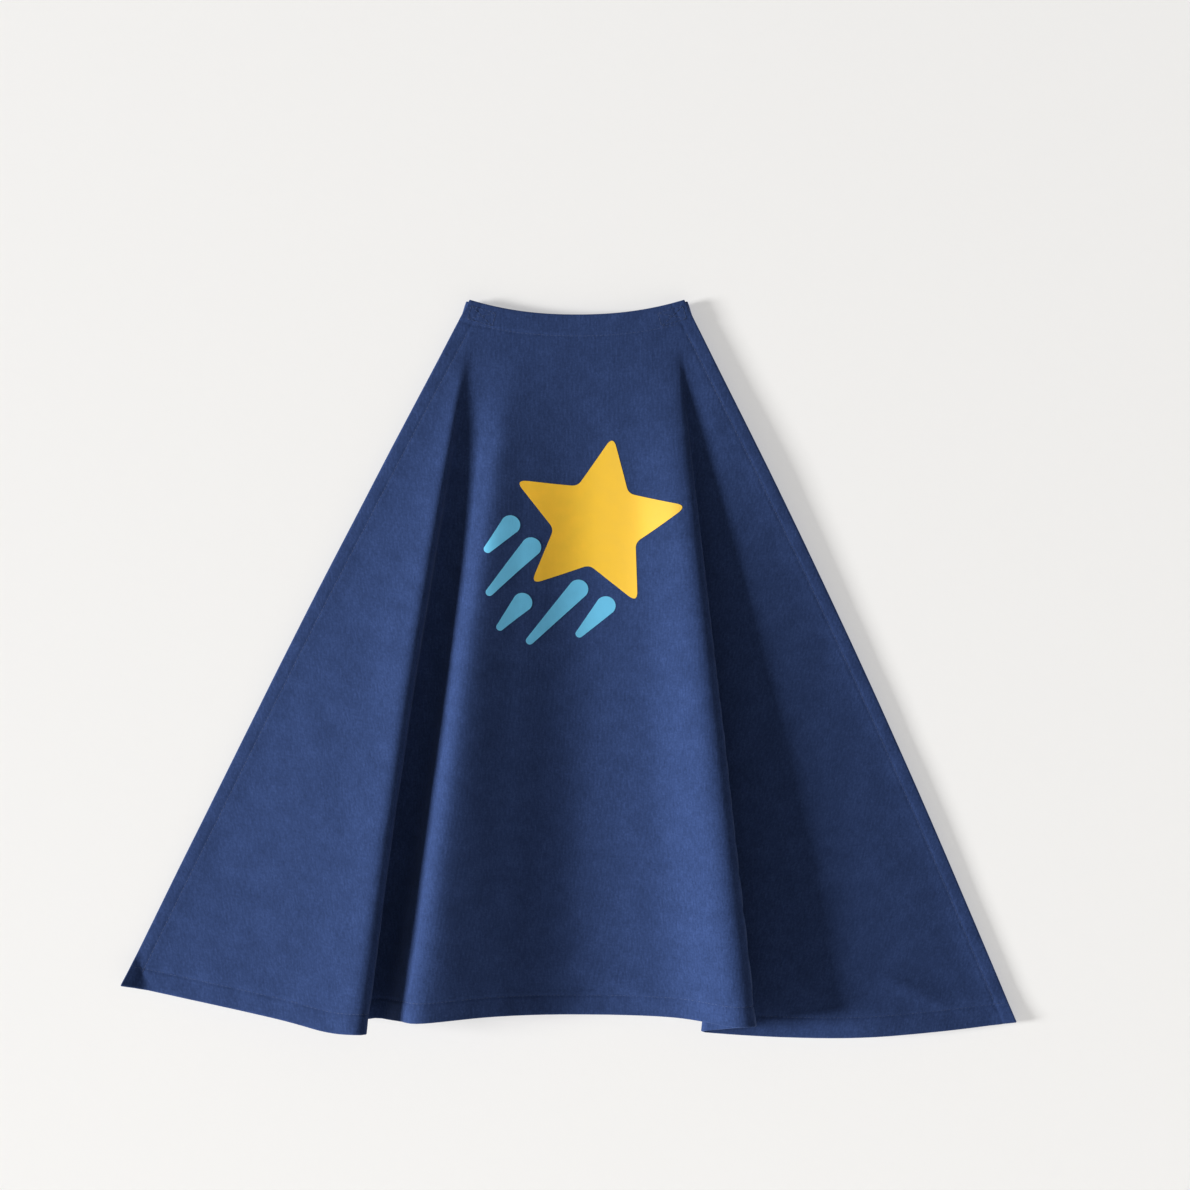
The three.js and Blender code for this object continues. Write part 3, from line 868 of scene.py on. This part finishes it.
hook_nylon = tape_material("hook_nylon", (0.008, 0.013, 0.035), (0.03, 0.05, 0.12), 0.45)
loop_nylon = tape_material("loop_nylon", (0.010, 0.018, 0.050), (0.05, 0.08, 0.18), 0.8)
BASE_TAPE = 0.6 * MM
PATCH_WIDTH = 12 * MM


def tape_base(bm, matrix, start, end, depth, way):
    """The woven ground of a patch, with round corners and a soft edge."""
    place = matrix @ Matrix.Translation(((start + end) / 2, depth + way * BASE_TAPE / 2, 0))
    size = Matrix.Diagonal((end - start, BASE_TAPE, PATCH_WIDTH, 1))
    made = bmesh.ops.create_cube(bm, size=1, matrix=place @ size)
    edges = {edge for vertex in made["verts"] for edge in vertex.link_edges}
    normal = matrix.to_3x3() @ Vector((0, 1, 0))
    upright = [e for e in edges if abs((e.verts[0].co - e.verts[1].co).normalized().dot(normal)) > 0.9]
    bmesh.ops.bevel(bm, geom=upright, offset=1.2 * MM, offset_type="OFFSET", segments=5, profile=0.5,
                    affect="EDGES", material=-1)
    bm.edges.ensure_lookup_table()
    rims = [e for e in bm.edges if e.calc_face_angle(0) > 1.2]
    bmesh.ops.bevel(bm, geom=rims, offset=0.15 * MM, offset_type="OFFSET", segments=2, profile=0.5,
                    affect="EDGES", material=-1)


def bristle(loop):
    """One hook, bent over at its tip, or one loop, which comes back down. It stands along Y from the origin."""
    bend = math.pi if loop else math.pi * 0.8
    radius = 0.36 * MM
    rise = 0.15 * MM if loop else 0.35 * MM
    bm = bmesh.new()
    upright = Matrix.Rotation(math.pi / 2, 4, "X")
    bmesh.ops.create_circle(bm, segments=4, radius=0.08 * MM, matrix=upright)
    moved = bmesh.ops.extrude_edge_only(bm, edges=bm.edges[:])["geom"]
    tip = [g for g in moved if isinstance(g, bmesh.types.BMVert)]
    bmesh.ops.translate(bm, verts=tip, vec=(0, rise, 0))
    for _ in range(4):
        edges = [g for g in moved if isinstance(g, bmesh.types.BMEdge)]
        moved = bmesh.ops.extrude_edge_only(bm, edges=edges)["geom"]
        tip = [g for g in moved if isinstance(g, bmesh.types.BMVert)]
        bmesh.ops.rotate(bm, verts=tip, cent=(radius, rise, 0), matrix=Matrix.Rotation(-bend / 4, 3, "Z"))
    bmesh.ops.holes_fill(bm, edges=bm.edges, sides=4)
    bmesh.ops.recalc_face_normals(bm, faces=bm.faces)
    shape = bpy.data.meshes.new("bristle")
    bm.to_mesh(shape)
    bm.free()
    return shape


def make_patch(name, node, matrix, side_of_tab, start, end, pitch, loop, material, body):
    way = side_of_tab
    depth = fold_radius + way * (TAB_THICKNESS / 2 - 0.05 * MM)
    bm = bmesh.new()
    tape_base(bm, matrix, start, end, depth, way)
    margin = 1.9 * MM
    places = []
    columns = int((end - start - 2 * margin) / pitch) + 1
    across = int((PATCH_WIDTH - 2 * margin) / pitch) + 1
    for i in range(columns):
        for j in range(across):
            x = start + margin + i * (end - start - 2 * margin) / (columns - 1)
            z = -PATCH_WIDTH / 2 + margin + j * (PATCH_WIDTH - 2 * margin) / (across - 1)
            spin = 3 * noise.noise(Vector((x * 9000, z * 7000, 0))) if loop else 0
            stand = Matrix.Rotation(spin, 4, "Y") @ Matrix.Rotation(0 if way > 0 else math.pi, 4, "X")
            places.append(matrix @ Matrix.Translation((x, depth + way * (BASE_TAPE - 0.05 * MM), z)) @ stand)
    made = repeated(name, bristle(loop), places)
    bmesh.ops.recalc_face_normals(bm, faces=bm.faces)
    bm.from_mesh(made)
    bm.to_mesh(made)
    bm.free()
    made.shade_smooth()
    patch = bpy.data.objects.new(name, made)
    bpy.context.scene.collection.objects.link(patch)
    patch.data.materials.append(material)
    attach(patch, body)
    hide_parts(node)
    return patch


patch_end = TAB_LENGTH - 3 * MM
hooks = make_patch("hook_tape", "hook_patch", left_matrix, -1, patch_end - 25 * MM, patch_end, 1.15 * MM,
                   False, hook_nylon, "left_closing_tab")
loops = make_patch("loop_tape", "loop_patch", right_matrix, 1, patch_end - 35 * MM, patch_end, 0.85 * MM,
                   True, loop_nylon, "right_closing_tab")


# ---- The print ----
# A plain golden star with light-blue streaks trailing from it, screen printed. The ink is a thin smooth film
# that takes the cloth's folds and a trace of its grain.
STAR_RADIUS = 70 * MM
STAR_WAIST = 0.47
STAR_TILT = -10
STAR_X = 15 * MM
STAR_Z = -164 * MM
STREAK_ANGLE = 228
STREAK_HEAD = 15 * MM
STREAK_TAIL = 6 * MM
FILM = 0.08 * MM
FILM_LIFT = 0.12 * MM
CELL = 2.4 * MM

# Where the middle of the front lies on each row, in metres in from the left edge
middle_girth = []
for row, width in zip(hanging, widths):
    middle_girth.append(np.interp(0, row[:, 0], np.linspace(0, width, GRID_COLUMNS)))


def film(name, outline, material, node):
    """Cuts an outline from flat film, slices it into small cells, and lays it on the cloth."""
    bm = bmesh.new()
    bm.faces.new([bm.verts.new((x, 0, z)) for x, z in outline])
    low = np.min(outline, axis=0)
    high = np.max(outline, axis=0)
    for axis, normal in ((0, (1, 0, 0)), (1, (0, 0, 1))):
        for place in np.arange(low[axis] + CELL, high[axis], CELL):
            bmesh.ops.bisect_plane(bm, geom=bm.verts[:] + bm.edges[:] + bm.faces[:], dist=1e-7,
                                   plane_co=Vector(normal) * place, plane_no=normal)
    bmesh.ops.solidify(bm, geom=bm.faces[:], thickness=FILM)
    bmesh.ops.recalc_face_normals(bm, faces=bm.faces)
    flat = np.array([v.co for v in bm.verts])
    outer = flat[:, 1] == flat[:, 1].min()
    below = -flat[:, 2] / LENGTH
    middle = np.interp(below, np.linspace(0, 1, GRID_ROWS), middle_girth)
    points, _ = on_cloth(middle + flat[:, 0], below, -(CLOTH / 2 + FILM_LIFT + FILM * outer))
    for vertex, point in zip(bm.verts, points):
        vertex.co = point
    made = bpy.data.meshes.new(name)
    bm.to_mesh(made)
    bm.free()
    made.shade_smooth()
    made.set_sharp_from_angle(angle=math.radians(50))
    piece = bpy.data.objects.new(name, made)
    bpy.context.scene.collection.objects.link(piece)
    flat_map(piece, flat[:, 0], flat[:, 2])
    piece.data.materials.append(material)
    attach(piece, "cape")
    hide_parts(node)


def ink(name, left, middle, right):
    """Printed ink: smooth and slightly glossy, with a trace of the knit. Its colour passes from left to right and
    darkens towards the right, a painted shade.
    """
    nodes = Nodes(name)
    place = nodes.add("UVMap", {"uv_map": "flat_cloth"}).outputs[0]
    spread = nodes.add("SeparateXYZ", n0=place).outputs[0]
    share = nodes.add("MapRange", n0=spread, n1=STAR_X - STAR_RADIUS, n2=STAR_X + STAR_RADIUS).outputs[0]
    cloudy = nodes.add("TexNoise", Vector=place, Scale=90.0, Detail=3.0).outputs[0]
    grain = nodes.add("Mapping", n0=place)
    grain.inputs["Scale"].default_value = (900, 60, 60)
    lines = nodes.add("TexNoise", Vector=grain.outputs[0], Scale=1.0, Detail=2.0).outputs[0]
    # The share across the star carries the painted shade; the cloudy noise is the ink's own uneven tone.
    tone = nodes.sum(nodes.sum(share, 0.8, "MULTIPLY"), nodes.sum(cloudy, 0.3, "MULTIPLY"))
    nodes.feed(nodes.shader.inputs["Base Color"], nodes.ramp(tone, [(0.1, left), (0.5, middle), (0.9, right)]))
    nodes.shader.inputs["Roughness"].default_value = 0.55
    nodes.shader.inputs["Specular IOR Level"].default_value = 0.35
    bump = nodes.add("Bump", Strength=0.25, Distance=0.0001, Height=lines)
    nodes.feed(nodes.shader.inputs["Normal"], bump.outputs[0])
    return nodes.material


def rounded(corners, rounding):
    """A closed outline through corners, each cut off in a smooth curve; rounding gives the share of each side."""
    outline = []
    count = len(corners)
    for i, corner in enumerate(corners):
        before, after = corners[i - 1], corners[(i + 1) % count]
        start = corner + (before - corner) * rounding[i]
        end = corner + (after - corner) * rounding[i]
        for t in np.linspace(0, 1, 9):
            outline.append((1 - t) ** 2 * start + 2 * t * (1 - t) * corner + t ** 2 * end)
    return np.array(outline)


star_corners = []
for i in range(10):
    radius = STAR_RADIUS * (STAR_WAIST if i % 2 else 1)
    angle = math.radians(90 + STAR_TILT + 36 * i)
    star_corners.append(np.array([STAR_X + radius * math.cos(angle), STAR_Z + radius * math.sin(angle)]))
# Golden ink, orange on the left and darker towards the right; the darkening is painted shade.
yellow_ink = ink("golden_ink", (0.98, 0.57, 0.048), (0.78, 0.50, 0.048), (0.70, 0.455, 0.066))
film("printed_star", rounded(star_corners, [0.2, 0.1] * 5), yellow_ink, "star_print")

# Each streak: millimetres aside of the star's middle, where it starts, how long it is
STREAKS = [(-47, 38, 36), (-24, 40, 58), (0, 77, 36), (24, 40, 66), (48, 36, 40)]
# Light-blue ink, the same blue growing darker towards the right: painted shade.
blue_ink = ink("light_blue_ink", (0.19, 0.60, 0.86), (0.145, 0.47, 0.68), (0.12, 0.39, 0.57))
trail = math.radians(STREAK_ANGLE)
for number, (aside, start, length) in enumerate(STREAKS, 1):
    head, tail = STREAK_HEAD / 2, STREAK_TAIL / 2
    ends = [(length * MM - tail + tail * math.cos(a), tail * math.sin(a))
            for a in np.linspace(-math.pi / 2, math.pi / 2, 12)]
    heads = [(head + head * math.cos(a), head * math.sin(a))
             for a in np.linspace(math.pi / 2, 1.5 * math.pi, 16)]
    origin = np.array([STAR_X + (start * math.cos(trail) - aside * math.sin(trail)) * MM,
                       STAR_Z + (start * math.sin(trail) + aside * math.cos(trail)) * MM])
    turned = [origin + np.array([x * math.cos(trail) - z * math.sin(trail),
                                 x * math.sin(trail) + z * math.cos(trail)]) for x, z in ends + heads]
    film(f"printed_streak_{number}", turned, blue_ink, f"streak_print_{number}")


# ---- Wall, floor, light and camera ----
# A white wall behind the cape and a pale floor well below it. The wall lets light and rear views through from
# behind. Soft daylight comes from the left, nearly along the wall.
def plain(name, size, center, normal, color, glow=0.0, see_through=False):
    bm = bmesh.new()
    turn = Vector(normal).to_track_quat("Z", "Y").to_matrix().to_4x4()
    bmesh.ops.create_grid(bm, x_segments=1, y_segments=1, size=size / 2, matrix=Matrix.Translation(center) @ turn)
    mesh = bpy.data.meshes.new(name)
    bm.to_mesh(mesh)
    bm.free()
    piece = bpy.data.objects.new(name, mesh)
    bpy.context.scene.collection.objects.link(piece)
    nodes = Nodes(name + "_paint")
    nodes.shader.inputs["Base Color"].default_value = color
    nodes.shader.inputs["Roughness"].default_value = 0.9
    nodes.shader.inputs["Specular IOR Level"].default_value = 0.1
    nodes.shader.inputs["Emission Color"].default_value = (1.0, 0.985, 0.97, 1)
    nodes.shader.inputs["Emission Strength"].default_value = glow
    if see_through:
        behind = nodes.add("NewGeometry").outputs["Backfacing"]
        shadow = nodes.add("LightPath").outputs["Is Shadow Ray"]
        clear = nodes.sum(behind, shadow, "MAXIMUM")
        glass = nodes.add("BsdfTransparent").outputs[0]
        mix = nodes.add("MixShader", n0=clear, n1=nodes.shader.outputs[0], n2=glass)
        nodes.feed(nodes.tree.nodes["Material Output"].inputs[0], mix.outputs[0])
    mesh.materials.append(nodes.material)


WALL_Y = cad_high.y + 1.2 * MM
plain("wall", 6, (0, WALL_Y, 0), (0, -1, 0), (0.37, 0.37, 0.365, 1), glow=0.49, see_through=True)
plain("floor", 8, (0, 0, cad_low.z - 0.9), (0, 0, 1), (0.82, 0.81, 0.80, 1))


def lamp(name, power, place, size, color):
    """A soft square lamp, pointed at the cape."""
    data = bpy.data.lights.new(name, "AREA")
    data.energy = power
    data.size = size
    data.color = color
    made = bpy.data.objects.new(name, data)
    made.location = place
    made.rotation_mode = "QUATERNION"
    made.rotation_quaternion = (Vector((0, 0, -0.25)) - made.location).to_track_quat("-Z", "Y")
    bpy.context.scene.collection.objects.link(made)


lamp("window", 4700, (-14, -5.2, -1.2), 3.4, (1.0, 0.995, 0.99))
lamp("rear_light", 330, (3.4, 2.6, 1.4), 1.6, (1.0, 1.0, 1.0))
world = bpy.data.worlds.new("studio")
world.use_nodes = True
world.node_tree.nodes["Background"].inputs[0].default_value = (1.0, 1.0, 1.0, 1)
world.node_tree.nodes["Background"].inputs[1].default_value = 0.2
bpy.context.scene.world = world
bpy.context.scene.view_settings.view_transform = "Standard"
bpy.context.scene.view_settings.gamma = 0.88

VIEW_WIDTH = 0.8925
camera_data = bpy.data.cameras.new("camera")
camera_data.lens = 85
camera_data.sensor_width = 36
camera = bpy.data.objects.new("camera", camera_data)
camera.location = (0.0135, WALL_Y - VIEW_WIDTH * camera_data.lens / camera_data.sensor_width, -0.2093)
camera.rotation_euler = (math.pi / 2, 0, 0)
bpy.context.scene.collection.objects.link(camera)
bpy.context.scene.camera = camera
